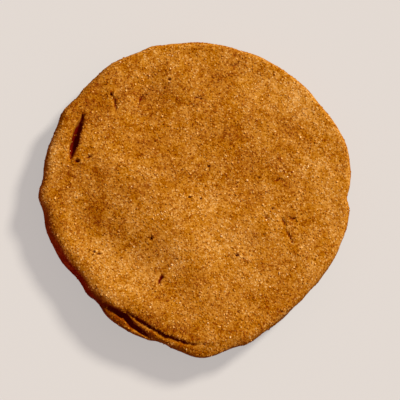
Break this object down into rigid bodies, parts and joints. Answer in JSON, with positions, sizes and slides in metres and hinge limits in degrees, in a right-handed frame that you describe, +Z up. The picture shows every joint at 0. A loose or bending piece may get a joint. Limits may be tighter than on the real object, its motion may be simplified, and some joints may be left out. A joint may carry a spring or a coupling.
{
  "type": "snickerdoodle",
  "caption": "Soft flat sugar cookie rolled in cinnamon sugar, round and uneven, with a rolled edge, a low rim, a split on its top and torn treads down one side.",
  "frame": {"origin": "on the surface that the cookie rests on, under the middle of its box", "axes": "+Z up through the cookie's thickness; seen from above, +X to the right and +Y away, with the torn treads on the -Y side and the split on the top at -X"},
  "size_m": [0.0852, 0.086, 0.0116],
  "materials": {
    "crust": "baked crust under a coat of cinnamon sugar: matt golden brown, rough and grainy, with darker brown in the splits and small bright sugar grains"
  },
  "bodies": {
    "root": {"snickerdoodle": "crust"}
  },
  "joints": []
}
